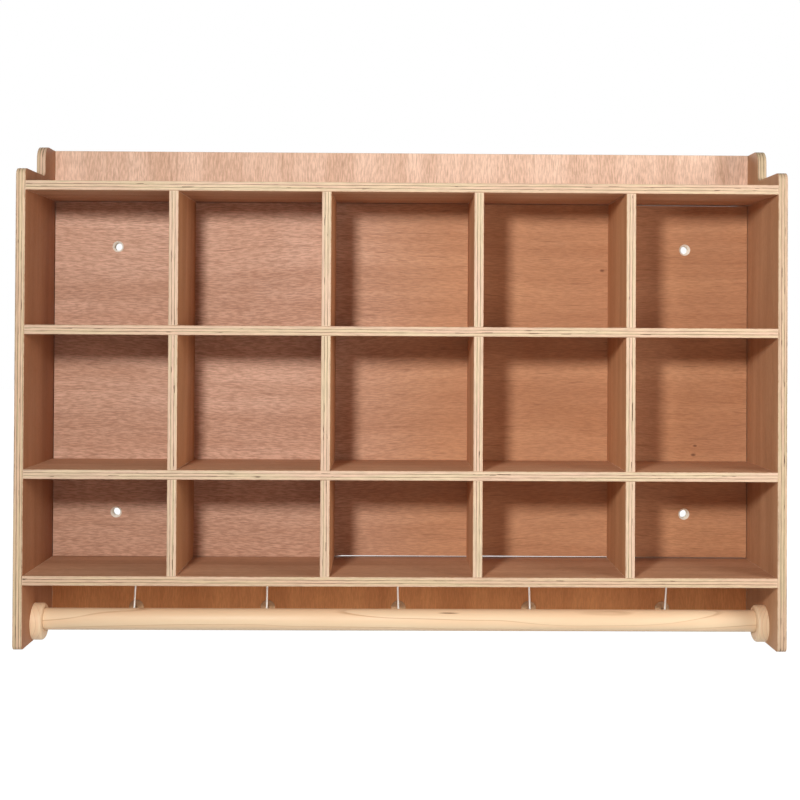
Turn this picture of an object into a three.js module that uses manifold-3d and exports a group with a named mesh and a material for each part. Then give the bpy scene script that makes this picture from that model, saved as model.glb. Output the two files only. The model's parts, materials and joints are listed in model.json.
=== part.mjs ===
// An open, wall-hung school locker: a plywood case of cubbies over a coat bay
// with a hanging rod and a row of coat hooks. Millimetres, +Z up.
// The wall is at +Y: every rear face lies in the plane y = 0, and the front
// edges of the case face -Y. The origin is the middle of the rear face.

import * as THREE from 'three';
import { mergeVertices } from 'three/addons/utils/BufferGeometryUtils.js';
import Module from 'manifold-3d';

const wasm = await Module();
wasm.setup();

// ---------------------------------------------------------------- sizes

// Case
const CASE_WIDTH = 1219;
const SHELF_DEPTH = 185;
const SHEET = 15;
const BACK_SHEET = 15;
const COLUMNS = 5;
const ROWS = [
  { name: 'bottom', clearHeight: 152 },
  { name: 'middle', clearHeight: 212.5 },
  { name: 'top', clearHeight: 212.5 },
];
const COAT_BAY_HEIGHT = 102;

// Ends of the case above the top shelf
const BACK_BOARD_HEIGHT = 71;
const SIDE_LIP = 20;
const RISER_DEPTH = 78;
const RISER_ROUND = 22;
const RISER_FOOT_FILLET = 9;
const SIDE_TOP_ROUND = 12;
const SIDE_BOTTOM_ROUND = 9;

// Board finish and fit
const ARRIS = 1;
const BOARD_GAP = 0.2;
const BACK_PANEL_TOP_GAP = 2.4;
const BACK_PANEL_BOTTOM_GAP = 2;
const BACK_PANEL_SIDE_GAP = 1;

// Wall fixing holes in the back panel
const FIXING_HOLE = 13;
const FIXING_SINK = 19;
const FIXING_SINK_DEPTH = 3;
const FIXING_DROP = 77.5;
const FIXING_OUTSET = 4.5;

// Hanging rod and its sockets
const ROD_DIAMETER = 35;
const ROD_FRONT_SETBACK = 74;
const ROD_RADIAL_CLEARANCE = 0.5;
const ROD_END_CLEARANCE = 1.5;
const ROD_END_CHAMFER = 1.5;
const SOCKET_RIM = 12;
const SOCKET_DROP = 4;
const SOCKET_FOOT_MARGIN = 1;
const SOCKET_THICKNESS = 18;
const SOCKET_FLOOR = 8;
const SOCKET_EDGE_ROUND = 5;
const SOCKET_SCREW_SPACING = 18;

// Coat hooks
const HOOK_XS = [-450, -226, -3, 220, 449];
const HOOK_HEIGHT = 31;
const HOOK_WIRE = 3.4;
const HOOK_REACH = 22;
const HOOK_DROP_ANGLE = 50;
const HOOK_SHANK_BEND = 8;
const HOOK_RISE = 40;
const HOOK_TIP_BEND = 30;
const HOOK_TIP_ANGLE = 22;
const HOOK_SHANK_GRIP = 11;
const HOOK_LEANS = [3, 1, -2, -2, 4];
const PLATE_DIAMETER = 25;
const PLATE_THICKNESS = 2.4;
const PLATE_EDGE = 1;

// Screws
const SCREW_HEAD = 8;
const SCREW_SHANK = 4;
const SCREW_TIP = 5;
const SCREW_CROSS = 4.4;
const SCREW_CROSS_SLOT = 0.9;
const SCREW_CROSS_DEPTH = 1.4;
const CASE_SCREW_LENGTH = 40;
const SOCKET_SCREW_LENGTH = 19;
const CASE_SCREW_INSET = 40;
const BACK_SCREWS_PER_SHELF = 2;
const FIT_GAP = 0.3;

// Facets
const WELD = 1e-4;
const ARC_STEPS = 3;
const SCREW_FACETS = 12;
const HOLE_FACETS = 20;
const ROD_FACETS = 36;
const SOCKET_ROUND_STEPS = 4;
const WIRE_FACETS = 8;

// ---------------------------------------------------------------- places

const innerWidth = CASE_WIDTH - 2 * SHEET;
const caseDepth = SHELF_DEPTH + BACK_SHEET;
const frontY = -caseDepth;
const backFaceY = -BACK_SHEET;
const rowsHeight = ROWS.reduce((sum, row) => sum + row.clearHeight + SHEET, SHEET);
const caseHeight = COAT_BAY_HEIGHT + rowsHeight + BACK_BOARD_HEIGHT;
const bottomZ = -caseHeight / 2;
const topZ = caseHeight / 2;

// Underside of each shelf, from the bottom one up.
const shelfUndersides = [bottomZ + COAT_BAY_HEIGHT];
for (const row of ROWS) {
  shelfUndersides.push(shelfUndersides.at(-1) + SHEET + row.clearHeight);
}
const bottomShelfTopZ = shelfUndersides[0] + SHEET;
const topShelfUndersideZ = shelfUndersides.at(-1);
const topShelfTopZ = topShelfUndersideZ + SHEET;

const columnClear = (innerWidth - (COLUMNS - 1) * SHEET) / COLUMNS;
const columnPitch = columnClear + SHEET;
const outerColumnX = columnPitch * (COLUMNS - 1) / 2;

const socketRadius = ROD_DIAMETER / 2 + SOCKET_RIM;
const socketZ = bottomZ + SOCKET_FOOT_MARGIN + socketRadius;
const rodY = frontY + ROD_FRONT_SETBACK;
const rodZ = socketZ + SOCKET_DROP;
const boardEndX = innerWidth / 2 - BOARD_GAP;
const rodEndX = boardEndX - SOCKET_FLOOR - ROD_END_CLEARANCE;
const hookZ = bottomZ + HOOK_HEIGHT;
const screwDepths = [frontY + CASE_SCREW_INSET, -CASE_SCREW_INSET];

// ---------------------------------------------------------------- materials

function finish(color, roughness, metalness) {
  return new THREE.MeshStandardMaterial({ color, roughness, metalness, flatShading: true });
}

const plywood = () => finish(0xc08a68, 0.7, 0);
const pine = () => finish(0xe6bf8e, 0.55, 0);
const hookSteel = () => finish(0xc9c9c6, 0.25, 1);
const screwSteel = () => finish(0xb4b2aa, 0.35, 1);

// ---------------------------------------------------------------- helpers

const locker = new THREE.Group();

function add(name, geometry, material, parent = locker) {
  const mesh = new THREE.Mesh(geometry, material);
  mesh.name = name;
  parent.add(mesh);
  return mesh;
}

// Joins shared corners and drops the slivers at a turned shape's axis. Every
// shape is welded where it is made, before it is turned or moved.
function weld(geometry) {
  geometry.deleteAttribute('normal');
  geometry.deleteAttribute('uv');
  const welded = mergeVertices(geometry, WELD);
  const corners = welded.index.array;
  const kept = [];
  for (let i = 0; i < corners.length; i += 3) {
    const [a, b, c] = corners.slice(i, i + 3);
    if (a !== b && b !== c && c !== a) kept.push(a, b, c);
  }
  welded.setIndex(kept);
  return welded;
}

function toSolid(geometry) {
  return new wasm.Manifold(new wasm.Mesh({
    numProp: 3,
    vertProperties: new Float32Array(geometry.attributes.position.array),
    triVerts: new Uint32Array(geometry.index.array),
  }));
}

function toGeometry(solid) {
  const mesh = solid.getMesh();
  const geometry = new THREE.BufferGeometry();
  geometry.setAttribute('position', new THREE.BufferAttribute(mesh.vertProperties, 3));
  geometry.setIndex(new THREE.BufferAttribute(mesh.triVerts, 1));
  return geometry;
}

function cut(geometry, cutters) {
  let solid = toSolid(geometry);
  for (const cutter of cutters) solid = solid.subtract(toSolid(cutter));
  return toGeometry(solid);
}

// A closed outline through corners [u, v, radius], each rounded by a true arc.
function roundedOutline(corners) {
  const shape = new THREE.Shape();
  corners.forEach(([u, v, radius], i) => {
    const corner = new THREE.Vector2(u, v);
    const [beforeU, beforeV] = corners.at(i - 1);
    const [afterU, afterV] = corners[(i + 1) % corners.length];
    const toBefore = new THREE.Vector2(beforeU, beforeV).sub(corner).normalize();
    const toAfter = new THREE.Vector2(afterU, afterV).sub(corner).normalize();
    const half = Math.acos(toBefore.dot(toAfter)) / 2;
    const start = corner.clone().addScaledVector(toBefore, radius / Math.tan(half));
    if (i === 0) shape.moveTo(start.x, start.y);
    else shape.lineTo(start.x, start.y);
    if (!radius) return;
    const end = corner.clone().addScaledVector(toAfter, radius / Math.tan(half));
    const inward = toBefore.clone().add(toAfter).normalize();
    const centre = corner.clone().addScaledVector(inward, radius / Math.sin(half));
    const from = start.clone().sub(centre).angle();
    const to = end.clone().sub(centre).angle();
    const clockwise = toBefore.cross(toAfter) > 0;
    shape.absarc(centre.x, centre.y, radius, from, to, clockwise);
  });
  return shape;
}

function extruded(shape, options) {
  return weld(new THREE.ExtrudeGeometry(shape, options));
}

// Stands an extrusion drawn in (y, z) upright, running along X about x = 0.
function alongX(geometry, length) {
  return geometry.translate(0, 0, -length / 2).rotateX(Math.PI / 2).rotateZ(Math.PI / 2);
}

// A board that runs along X, drawn as its section with the front arrises eased.
function longBoard(length, y0, y1, z0, z1, rounds) {
  const [frontLow, frontHigh, rearHigh, rearLow] = rounds;
  const section = roundedOutline([
    [y1, z0, rearLow], [y1, z1, rearHigh], [y0, z1, frontHigh], [y0, z0, frontLow],
  ]);
  const options = { depth: length, bevelEnabled: false, curveSegments: 1 };
  return alongX(extruded(section, options), length);
}

function turned(profile, facets) {
  const points = profile.map(([radius, height]) => new THREE.Vector2(radius, height));
  return weld(new THREE.LatheGeometry(points, facets));
}

function box(width, height, depth) {
  return weld(new THREE.BoxGeometry(width, height, depth));
}

// Turns a shape made along +Y so that it points along the given direction.
function aimed(geometry, direction, at) {
  const turn = new THREE.Quaternion();
  turn.setFromUnitVectors(new THREE.Vector3(0, 1, 0), direction);
  return geometry.applyQuaternion(turn).translate(at.x, at.y, at.z);
}

// ---------------------------------------------------------------- screws

const LEFT = new THREE.Vector3(-1, 0, 0);
const RIGHT = new THREE.Vector3(1, 0, 0);
const FORWARD = new THREE.Vector3(0, -1, 0);

// Countersunk wood screw in (radius, height), its tip lowest and the rim of
// its head at height 0. The bore for it is the same shape, grown by the gap.
function screwProfile(length, grow) {
  const head = SCREW_HEAD / 2 + grow;
  const shank = SCREW_SHANK / 2 + grow;
  const headDepth = (SCREW_HEAD - SCREW_SHANK) / 2;
  return [[0, -length - grow], [shank, -length + SCREW_TIP], [shank, -headDepth], [head, 0]];
}

function screwBore(length) {
  const mouth = [[SCREW_HEAD / 2 + FIT_GAP, FIT_GAP], [0, FIT_GAP]];
  return turned([...screwProfile(length, FIT_GAP), ...mouth], SCREW_FACETS);
}

function screwGeometry(length) {
  const body = turned([...screwProfile(length, 0), [0, 0]], SCREW_FACETS);
  const slots = [
    box(SCREW_CROSS, 2 * SCREW_CROSS_DEPTH, SCREW_CROSS_SLOT),
    box(SCREW_CROSS_SLOT, 2 * SCREW_CROSS_DEPTH, SCREW_CROSS),
  ];
  return cut(body, slots);
}

// Each screw has the two pieces that it joins, the middle of its head's face
// and the direction that the head faces.
const screws = [];

// The bores in one piece, in the frame of a mesh placed at meshPlace.
function boresIn(piece, meshPlace = new THREE.Vector3()) {
  return screws.filter((screw) => screw.joins.includes(piece)).map((screw) => {
    const at = screw.head.clone().sub(meshPlace);
    return aimed(screwBore(screw.length), screw.out, at);
  });
}

const shelfNames = ['bottom_shelf', 'lower_shelf', 'upper_shelf', 'top_shelf'];

for (const [side, out] of [['left', LEFT], ['right', RIGHT]]) {
  shelfNames.forEach((shelf, level) => {
    screwDepths.forEach((y, i) => {
      screws.push({
        name: `screw_${side}_${shelf}_${i + 1}`,
        joins: [`${side}_side`, shelf],
        length: CASE_SCREW_LENGTH,
        head: new THREE.Vector3(out.x * CASE_WIDTH / 2, y, shelfUndersides[level] + SHEET / 2),
        out,
      });
    });
  });
}

for (const level of [1, 2]) {
  for (let i = 0; i < BACK_SCREWS_PER_SHELF; i += 1) {
    const x = (i - (BACK_SCREWS_PER_SHELF - 1) / 2) * 2 * columnPitch;
    screws.push({
      name: `screw_back_${shelfNames[level]}_${i + 1}`,
      joins: ['back_panel', shelfNames[level]],
      length: CASE_SCREW_LENGTH,
      head: new THREE.Vector3(x, 0, shelfUndersides[level] + SHEET / 2),
      out: FORWARD.clone().negate(),
    });
  }
}

for (const [side, out] of [['left', RIGHT], ['right', LEFT]]) {
  for (const sign of [-1, 1]) {
    const x = -out.x * (boardEndX - SOCKET_FLOOR);
    const y = rodY + sign * SOCKET_SCREW_SPACING / 2;
    screws.push({
      name: `screw_socket_${side}_${sign < 0 ? 'front' : 'rear'}`,
      joins: [`${side}_side`, `rod_socket_${side}`],
      length: SOCKET_SCREW_LENGTH,
      head: new THREE.Vector3(x, y, rodZ),
      out,
    });
  }
}

// ---------------------------------------------------------------- sides

// Each side is one board: straight at the wall and the floor end, low at the
// front with a rounded corner, and raised to a rounded riser at the rear.
function sideGeometry() {
  const lipZ = topShelfTopZ + SIDE_LIP;
  const outline = roundedOutline([
    [0, bottomZ, 0],
    [0, topZ, 0],
    [-RISER_DEPTH, topZ, RISER_ROUND],
    [-RISER_DEPTH, lipZ, RISER_FOOT_FILLET],
    [frontY, lipZ, SIDE_TOP_ROUND],
    [frontY, bottomZ, SIDE_BOTTOM_ROUND],
  ]);
  const depth = SHEET - 2 * ARRIS;
  const options = {
    depth,
    bevelEnabled: true,
    bevelThickness: ARRIS,
    bevelSize: ARRIS,
    bevelOffset: -ARRIS,
    bevelSegments: 1,
    curveSegments: ARC_STEPS,
  };
  return alongX(extruded(outline, options), depth);
}

for (const [name, sign] of [['left_side', -1], ['right_side', 1]]) {
  const place = new THREE.Vector3(sign * (CASE_WIDTH - SHEET) / 2, 0, 0);
  const side = add(name, cut(sideGeometry(), boresIn(name, place)), plywood());
  side.position.copy(place);
}

// ---------------------------------------------------------------- shelves

// The top and bottom shelves run through to the wall. The two between them
// stop at the back panel.
shelfNames.forEach((name, level) => {
  const runsThrough = level === 0 || level === shelfNames.length - 1;
  const rearY = runsThrough ? 0 : backFaceY - BOARD_GAP;
  const z0 = shelfUndersides[level];
  const eased = [ARRIS, ARRIS, 0, 0];
  const board = longBoard(2 * boardEndX, frontY, rearY, z0, z0 + SHEET, eased);
  add(name, cut(board, boresIn(name)), plywood());
});

// ---------------------------------------------------------------- dividers

function dividerGeometry(height) {
  const outline = roundedOutline([
    [-SHEET / 2, backFaceY - BOARD_GAP, 0],
    [-SHEET / 2, frontY, ARRIS],
    [SHEET / 2, frontY, ARRIS],
    [SHEET / 2, backFaceY - BOARD_GAP, 0],
  ]);
  const options = { depth: height, bevelEnabled: false, curveSegments: 1 };
  return extruded(outline, options);
}

ROWS.forEach((row, level) => {
  const geometry = dividerGeometry(row.clearHeight - 2 * BOARD_GAP);
  const rowGroup = new THREE.Group();
  rowGroup.position.z = shelfUndersides[level] + SHEET + BOARD_GAP;
  locker.add(rowGroup);
  for (let i = 1; i < COLUMNS; i += 1) {
    const divider = add(`divider_${row.name}_${i}`, geometry, plywood(), rowGroup);
    divider.position.x = -innerWidth / 2 + i * columnPitch - SHEET / 2;
  }
});

// ---------------------------------------------------------------- back boards

function fixingCutter(x, z) {
  const hole = FIXING_HOLE / 2;
  const sink = FIXING_SINK / 2;
  const profile = [
    [0, -BACK_SHEET - FIT_GAP],
    [hole, -BACK_SHEET - FIT_GAP],
    [hole, -FIXING_SINK_DEPTH],
    [sink, 0],
    [sink, FIT_GAP],
    [0, FIT_GAP],
  ];
  const at = new THREE.Vector3(x, backFaceY, z);
  return aimed(turned(profile, HOLE_FACETS), FORWARD, at);
}

const upperFixingZ = topShelfUndersideZ - FIXING_DROP;
const lowerFixingZ = bottomShelfTopZ + ROWS[0].clearHeight / 2;
const fixingX = outerColumnX + FIXING_OUTSET;
const fixings = [upperFixingZ, lowerFixingZ].flatMap((z) => [
  fixingCutter(-fixingX, z),
  fixingCutter(fixingX, z),
]);

const backPanelBoard = longBoard(
  innerWidth - 2 * BACK_PANEL_SIDE_GAP,
  backFaceY,
  0,
  bottomShelfTopZ + BACK_PANEL_BOTTOM_GAP,
  topShelfUndersideZ - BACK_PANEL_TOP_GAP,
  [0, 0, 0, 0],
);
add('back_panel', cut(backPanelBoard, [...fixings, ...boresIn('back_panel')]), plywood());

add('top_back_board', longBoard(
  2 * boardEndX,
  backFaceY,
  0,
  topShelfTopZ + BOARD_GAP,
  topZ,
  [0, ARRIS, ARRIS, 0],
), plywood());

// ---------------------------------------------------------------- coat hooks

const railBoard = longBoard(
  2 * boardEndX,
  backFaceY,
  0,
  bottomZ,
  shelfUndersides[0] - BOARD_GAP,
  [ARRIS, 0, 0, ARRIS],
);
const shankBores = HOOK_XS.map((x) => {
  const radius = HOOK_WIRE / 2 + FIT_GAP;
  const depth = HOOK_SHANK_GRIP + FIT_GAP;
  const profile = [[0, -depth], [radius, -depth], [radius, FIT_GAP], [0, FIT_GAP]];
  return aimed(turned(profile, SCREW_FACETS), FORWARD, new THREE.Vector3(x, backFaceY, hookZ));
});
add('hook_rail', cut(railBoard, shankBores), plywood());

// Round base plate, drawn in (radius, distance out from the rail).
function plateGeometry() {
  const hole = HOOK_WIRE / 2 + FIT_GAP;
  const rim = PLATE_DIAMETER / 2;
  const profile = [
    [hole, 0],
    [rim, 0],
    [rim, PLATE_EDGE],
    [rim - PLATE_EDGE, PLATE_THICKNESS - PLATE_EDGE / 2],
    [rim / 2, PLATE_THICKNESS],
    [hole, PLATE_THICKNESS],
    [hole, 0],
  ];
  return aimed(turned(profile, HOLE_FACETS), FORWARD, new THREE.Vector3());
}

// The wire's line, in (distance out, height): level out of the rail, a short
// bend down, one wide turn up into the front leg, and a tip that leans out.
function hookLine() {
  const drop = THREE.MathUtils.degToRad(HOOK_DROP_ANGLE);
  const tip = THREE.MathUtils.degToRad(HOOK_TIP_ANGLE);
  const levelOut = PLATE_THICKNESS + HOOK_WIRE / 2;
  const bendReach = HOOK_SHANK_BEND * Math.sin(drop);
  const turnRadius = (HOOK_REACH - levelOut - bendReach) / (1 + Math.sin(drop));
  const line = [];
  let out = -HOOK_SHANK_GRIP;
  let height = 0;
  let heading = 0;
  const go = (length, steps) => {
    for (let i = 0; i < steps; i += 1) {
      line.push([out, height]);
      out += Math.cos(heading) * length / steps;
      height += Math.sin(heading) * length / steps;
    }
  };
  const bend = (radius, angle, steps) => {
    for (let i = 0; i < steps; i += 1) {
      line.push([out, height]);
      const next = heading + angle / steps;
      const curve = Math.sign(angle) * radius;
      out += curve * (Math.sin(next) - Math.sin(heading));
      height += curve * (Math.cos(heading) - Math.cos(next));
      heading = next;
    }
  };
  go(HOOK_SHANK_GRIP + levelOut, 2);
  bend(HOOK_SHANK_BEND, -drop, 3);
  bend(turnRadius, drop + Math.PI / 2, 9);
  go(HOOK_RISE, 3);
  bend(HOOK_TIP_BEND, -tip, 3);
  line.push([out, height]);
  return line;
}

function hookGeometry() {
  const points = hookLine().map(([out, height]) => new THREE.Vector3(0, -out, height));
  const path = new THREE.CatmullRomCurve3(points, false, 'centripetal');
  const section = new THREE.Shape();
  section.absarc(0, 0, HOOK_WIRE / 2, 0, 2 * Math.PI, false);
  return extruded(section, {
    steps: points.length,
    extrudePath: path,
    bevelEnabled: false,
    curveSegments: WIRE_FACETS / 2,
  });
}

HOOK_XS.forEach((x, i) => {
  const hook = new THREE.Group();
  hook.position.set(x, backFaceY - FIT_GAP, hookZ);
  hook.rotation.y = THREE.MathUtils.degToRad(HOOK_LEANS[i]);
  locker.add(hook);
  add(`hook_plate_${i + 1}`, plateGeometry(), hookSteel(), hook);
  add(`coat_hook_${i + 1}`, hookGeometry(), hookSteel(), hook);
});

// ---------------------------------------------------------------- hanging rod

// A socket is a turned disc with a rounded face edge and a blind recess. Its
// recess is higher than its middle, so most of the wood is under the rod.
function socketGeometry(side, out) {
  const profile = [[0, 0], [socketRadius, 0]];
  for (let i = 0; i <= SOCKET_ROUND_STEPS; i += 1) {
    const angle = (i / SOCKET_ROUND_STEPS) * Math.PI / 2;
    profile.push([
      socketRadius - SOCKET_EDGE_ROUND * (1 - Math.cos(angle)),
      SOCKET_THICKNESS - SOCKET_EDGE_ROUND * (1 - Math.sin(angle)),
    ]);
  }
  profile.push([0, SOCKET_THICKNESS]);
  const baseX = -out.x * boardEndX;
  const discPlace = new THREE.Vector3(baseX, rodY, socketZ);
  const disc = aimed(turned(profile, ROD_FACETS), out, discPlace);
  const recess = ROD_DIAMETER / 2 + ROD_RADIAL_CLEARANCE;
  const recessProfile = [
    [0, SOCKET_FLOOR],
    [recess, SOCKET_FLOOR],
    [recess, SOCKET_THICKNESS + FIT_GAP],
    [0, SOCKET_THICKNESS + FIT_GAP],
  ];
  const borePlace = new THREE.Vector3(baseX, rodY, rodZ);
  const bore = aimed(turned(recessProfile, ROD_FACETS), out, borePlace);
  return cut(disc, [bore, ...boresIn(`rod_socket_${side}`)]);
}

add('rod_socket_left', socketGeometry('left', RIGHT), pine());
add('rod_socket_right', socketGeometry('right', LEFT), pine());

function rodGeometry() {
  const radius = ROD_DIAMETER / 2;
  const profile = [
    [0, -rodEndX],
    [radius - ROD_END_CHAMFER, -rodEndX],
    [radius, -rodEndX + ROD_END_CHAMFER],
    [radius, rodEndX - ROD_END_CHAMFER],
    [radius - ROD_END_CHAMFER, rodEndX],
    [0, rodEndX],
  ];
  return turned(profile, ROD_FACETS).rotateZ(-Math.PI / 2);
}

const rod = add('hanging_rod', rodGeometry(), pine());
rod.position.set(0, rodY, rodZ);

// ---------------------------------------------------------------- fasteners

for (const screw of screws) {
  const geometry = aimed(screwGeometry(screw.length), screw.out, screw.head);
  add(screw.name, geometry, screwSteel());
}

export default locker;
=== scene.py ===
# %% [markdown]
# # A wall-hung school locker
#
# The real object is an open plywood case that hangs on a classroom wall: three
# rows of five cubbies over a coat bay, which has a wooden hanging rod in turned
# sockets and a row of wire hooks. This lesson makes the looks of that case
# around its fixed design. The design gives every piece its place, so each new
# piece starts from the box of the part that it stands for.

# %% Load the design
import json
import math

import bmesh
import bpy
from mathutils import Matrix, Vector


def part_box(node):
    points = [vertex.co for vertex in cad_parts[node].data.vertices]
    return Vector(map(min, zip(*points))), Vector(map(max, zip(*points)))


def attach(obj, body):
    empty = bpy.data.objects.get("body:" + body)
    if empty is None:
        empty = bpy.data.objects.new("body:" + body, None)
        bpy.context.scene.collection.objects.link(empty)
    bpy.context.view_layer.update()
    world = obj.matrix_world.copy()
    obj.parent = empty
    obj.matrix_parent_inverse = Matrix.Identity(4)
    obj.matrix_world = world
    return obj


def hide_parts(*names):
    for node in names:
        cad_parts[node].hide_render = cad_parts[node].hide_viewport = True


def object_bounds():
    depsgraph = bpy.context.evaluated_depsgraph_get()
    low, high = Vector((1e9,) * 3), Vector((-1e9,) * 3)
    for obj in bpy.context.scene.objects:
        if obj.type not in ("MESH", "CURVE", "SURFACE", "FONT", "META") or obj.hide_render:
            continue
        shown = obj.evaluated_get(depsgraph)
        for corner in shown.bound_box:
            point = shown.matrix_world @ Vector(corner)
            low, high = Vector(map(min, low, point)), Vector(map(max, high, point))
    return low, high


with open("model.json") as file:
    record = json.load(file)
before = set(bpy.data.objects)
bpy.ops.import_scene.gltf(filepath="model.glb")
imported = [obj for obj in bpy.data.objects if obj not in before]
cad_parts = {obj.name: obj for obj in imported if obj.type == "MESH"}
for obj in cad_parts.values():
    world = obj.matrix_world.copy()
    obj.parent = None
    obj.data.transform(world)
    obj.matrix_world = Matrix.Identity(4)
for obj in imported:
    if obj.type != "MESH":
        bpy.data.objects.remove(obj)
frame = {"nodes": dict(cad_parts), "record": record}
cad_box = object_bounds()
print("parts in the design:", len(frame["nodes"]))
print("size of the case:", [round(high - low, 4) for low, high in zip(*cad_box)])

# %% [markdown]
# ## Measures
#
# A maker would mark out a case from its sheet thickness and its outer size. Here
# both are read from the design instead of being typed again. All lengths are in
# metres, and `MM` lets the small ones be written the way a maker says them.

# %% Read the main measures
MM = 0.001
LEFT, RIGHT = Vector((-1, 0, 0)), Vector((1, 0, 0))
FORWARD, BACKWARD = Vector((0, -1, 0)), Vector((0, 1, 0))
UP = Vector((0, 0, 1))

case_low, case_high = cad_box
case_middle = (case_low + case_high) / 2
front_y = case_low.y
left_low, left_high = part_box("left_side")
sheet = left_high.x - left_low.x
print("sheet thickness in mm:", round(sheet / MM, 2))

# %% [markdown]
# ## Camera
#
# A long case is best shown square on, a little above its middle, with a longer
# lens so that the cubbies do not splay. The camera stays level enough to keep
# the boards upright, and the lens shift puts the case in the picture instead of
# a steeper tilt, as is done for pictures of tall buildings.

# %% Place the camera
CAMERA_SETBACK = 2.102
CAMERA_RISE = 0.098
CAMERA_SIDESTEP = -0.015
CAMERA_TILT = 0.584
CAMERA_ROLL = -0.316
CAMERA_PAN = -0.623
LENS = 60.0
LENS_SHIFT = (-0.0092, -0.1019)

camera_data = bpy.data.cameras.new("studio_camera")
camera_data.sensor_width = 36.0
camera_data.lens = LENS
camera_data.shift_x, camera_data.shift_y = LENS_SHIFT
camera = bpy.data.objects.new("studio_camera", camera_data)
camera.location = (
    case_middle.x + CAMERA_SIDESTEP,
    front_y - CAMERA_SETBACK,
    case_middle.z + CAMERA_RISE,
)
camera.rotation_euler = [math.radians(a) for a in (90 + CAMERA_TILT, CAMERA_ROLL, CAMERA_PAN)]
bpy.context.scene.collection.objects.link(camera)
bpy.context.scene.camera = camera
bpy.context.scene.view_settings.view_transform = "Standard"
print("camera at", [round(v, 3) for v in camera.location])

# %% [markdown]
# ## Wiring helper
#
# Materials, the world and the shared effects are all node trees. This small
# helper adds a node, sets it and links it in one call, so that a tree can be
# read from top to bottom like a recipe. A value that is a socket is linked, and
# any other value is set on the socket itself.

# %% Define the wiring helper
class Wiring:
    """Adds linked nodes to one node tree."""

    def __init__(self, tree):
        self.tree = tree

    def node(self, kind, **settings):
        made = self.tree.nodes.new(kind)
        for name, value in settings.items():
            setattr(made, name, value)
        return made

    def feed(self, socket, value):
        if isinstance(value, bpy.types.NodeSocket):
            self.tree.links.new(value, socket)
        else:
            socket.default_value = value

    def math(self, operation, *values, clamp=False):
        made = self.node("ShaderNodeMath", operation=operation, use_clamp=clamp)
        for socket, value in zip(made.inputs, values):
            self.feed(socket, value)
        return made.outputs[0]

    def vector(self, operation, *values):
        made = self.node("ShaderNodeVectorMath", operation=operation)
        for socket, value in zip(made.inputs, values):
            self.feed(socket, value)
        is_number = operation in ("LENGTH", "DOT_PRODUCT", "DISTANCE")
        return made.outputs["Value" if is_number else "Vector"]

    def split(self, vector):
        made = self.node("ShaderNodeSeparateXYZ")
        self.feed(made.inputs[0], vector)
        return made.outputs[:]

    def join(self, x, y, z):
        made = self.node("ShaderNodeCombineXYZ")
        for socket, value in zip(made.inputs, (x, y, z)):
            self.feed(socket, value)
        return made.outputs[0]

    def noise(self, place, per_metre, detail=2.0, roughness=0.5):
        """Noise whose features are 1 / per_metre long on each axis."""
        made = self.node("ShaderNodeTexNoise")
        self.feed(made.inputs["Vector"], self.vector("MULTIPLY", place, per_metre))
        made.inputs["Scale"].default_value = 1.0
        made.inputs["Detail"].default_value = detail
        made.inputs["Roughness"].default_value = roughness
        return made.outputs[0]

    def fade(self, value, start, end, low=0.0, high=1.0):
        """A smooth change from low at start to high at end."""
        made = self.node("ShaderNodeMapRange", interpolation_type="SMOOTHSTEP")
        for socket, given in zip(made.inputs, (value, start, end, low, high)):
            self.feed(socket, given)
        return made.outputs[0]

    def mix(self, share, first, second, blend="MIX"):
        made = self.node("ShaderNodeMix", data_type="RGBA", blend_type=blend)
        self.feed(made.inputs[0], share)
        self.feed(made.inputs[6], first)
        self.feed(made.inputs[7], second)
        return made.outputs[2]

    def seeded(self, given, slide):
        """A group's position, slid by its seed to another part of every pattern."""
        shift = self.vector("MULTIPLY", given["Seed"], slide)
        return self.vector("ADD", given["Position"], shift)

    def group(self, tree, **values):
        made = self.node("ShaderNodeGroup", node_tree=tree)
        for name, value in values.items():
            self.feed(made.inputs[name.replace("_", " ")], value)
        return made.outputs


def new_effect(title, inputs, outputs):
    """An empty node group with named sockets: its wiring, inputs and output node."""
    tree = bpy.data.node_groups.new(title, "ShaderNodeTree")
    for name, kind in inputs.items():
        tree.interface.new_socket(name=name, in_out="INPUT", socket_type=kind)
    for name, kind in outputs.items():
        tree.interface.new_socket(name=name, in_out="OUTPUT", socket_type=kind)
    wiring = Wiring(tree)
    given = wiring.node("NodeGroupInput").outputs
    result = wiring.node("NodeGroupOutput").inputs
    return wiring, given, result


NUMBER, VECTOR, COLOUR = "NodeSocketFloat", "NodeSocketVector", "NodeSocketColor"
print("helper ready:", Wiring.__doc__)

# %% [markdown]
# ## Studio
#
# One small softbox stands a little to the left of the camera and above it. It is
# hard enough to draw the shadow of every divider on the back of its cubby, and
# the wood fills those shadows with its own warm bounce. It is turned towards the
# far end of the case, so that both ends get much the same light. A panel on the
# right lifts the front edges there, and a low white board lifts whatever looks
# down. A wide lamp behind the locker lights its rear, which nothing else reaches,
# and hardly touches the front.

# %% Hang the lights
front_middle = Vector((case_middle.x, front_y, case_middle.z))
KEY_AIM = case_middle + Vector((1.3, 0, 0))
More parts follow.
